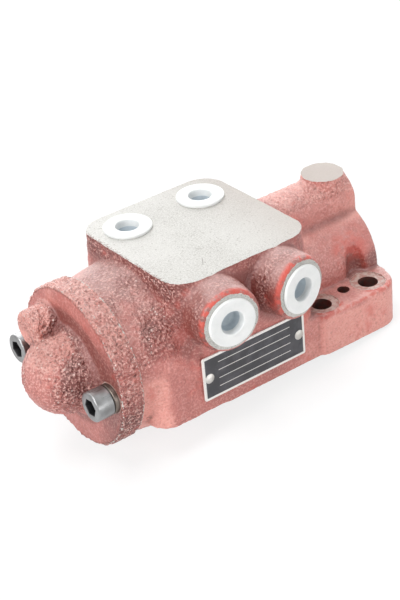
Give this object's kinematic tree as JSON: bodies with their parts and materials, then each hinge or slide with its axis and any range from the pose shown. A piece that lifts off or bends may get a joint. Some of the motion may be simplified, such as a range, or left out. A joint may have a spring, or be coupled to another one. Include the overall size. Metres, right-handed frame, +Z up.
{
  "type": "hydraulic control valve",
  "caption": "Cast hydraulic steering valve with a machined top pad, plugged ports, a domed end cover, a sliding spool and bolt-down feet.",
  "frame": {"origin": "centre of the four foot bolts on the machined base face", "axes": "+X along the spool towards the feet's end face, +Z up from the base face, -Y towards the cylinder ports"},
  "size_m": [0.2073, 0.1165, 0.0954],
  "materials": {
    "cast_iron_paint": "brick-red primer paint over rough sand-cast iron, bare machined iron on the pads",
    "gasket_paper": "oiled paper",
    "zinc_steel": "bright zinc plate",
    "ground_steel": "ground and hardened",
    "spring_steel": "oiled spring wire",
    "seal_rubber": "nitrile rubber",
    "plate_black": "dark anodised aluminium with a bright border",
    "rivet_aluminium": "plain aluminium",
    "plug_plastic": "moulded white polyethylene"
  },
  "bodies": {
    "valve": {"valve_body": "cast_iron_paint", "end_cover": "cast_iron_paint", "cover_gasket": "gasket_paper", "cover_screws": "zinc_steel", "cover_spring_washers": "zinc_steel", "spool_seal": "seal_rubber", "centring_spring": "spring_steel", "end_spring": "spring_steel", "bore_plug": "zinc_steel", "bore_plug_seal": "seal_rubber", "gallery_plug": "zinc_steel", "gallery_plug_seal": "seal_rubber", "relief_seat": "ground_steel", "relief_spring": "spring_steel", "relief_shim": "ground_steel", "check_spring": "spring_steel", "nameplate": "plate_black", "nameplate_rivets": "rivet_aluminium"},
    "spool": {"spool": "ground_steel", "spring_seat": "ground_steel", "seat_screw": "zinc_steel"},
    "relief_poppet": {"relief_poppet": "ground_steel"},
    "check_ball": {"check_ball": "ground_steel"},
    "pressure_port_plug": {"pressure_port_plug": "plug_plastic"},
    "return_port_plug": {"return_port_plug": "plug_plastic"},
    "left_cylinder_port_plug": {"left_cylinder_port_plug": "plug_plastic"},
    "right_cylinder_port_plug": {"right_cylinder_port_plug": "plug_plastic"}
  },
  "joints": [
    {"name": "spool_slide", "type": "slide", "parent": "valve", "child": "spool", "axis": [1, 0, 0], "range_m": [-0.0025, 0.0025], "stiffness_N_per_m": 9000, "deforming": ["centring_spring", "end_spring"]},
    {"name": "relief_lift", "type": "slide", "parent": "valve", "child": "relief_poppet", "axis": [-1, 0, 0], "range_m": [0, 0.0025], "stiffness_N_per_m": 6000, "springref_m": -0.001, "deforming": ["relief_spring"]},
    {"name": "check_lift", "type": "slide", "parent": "valve", "child": "check_ball", "axis": [1, 0, 0], "range_m": [0, 0.0025], "stiffness_N_per_m": 150, "springref_m": -0.001, "deforming": ["check_spring"]},
    {"name": "pressure_port_plug_pull", "type": "slide", "parent": "valve", "child": "pressure_port_plug", "axis": [0, 0, 1], "range_m": [0, 0.014]},
    {"name": "return_port_plug_pull", "type": "slide", "parent": "valve", "child": "return_port_plug", "axis": [0, 0, 1], "range_m": [0, 0.014]},
    {"name": "left_cylinder_port_plug_pull", "type": "slide", "parent": "valve", "child": "left_cylinder_port_plug", "axis": [-0.1392, -0.9903, 0], "range_m": [0, 0.014]},
    {"name": "right_cylinder_port_plug_pull", "type": "slide", "parent": "valve", "child": "right_cylinder_port_plug", "axis": [0.1392, -0.9903, 0], "range_m": [0, 0.014]}
  ]
}
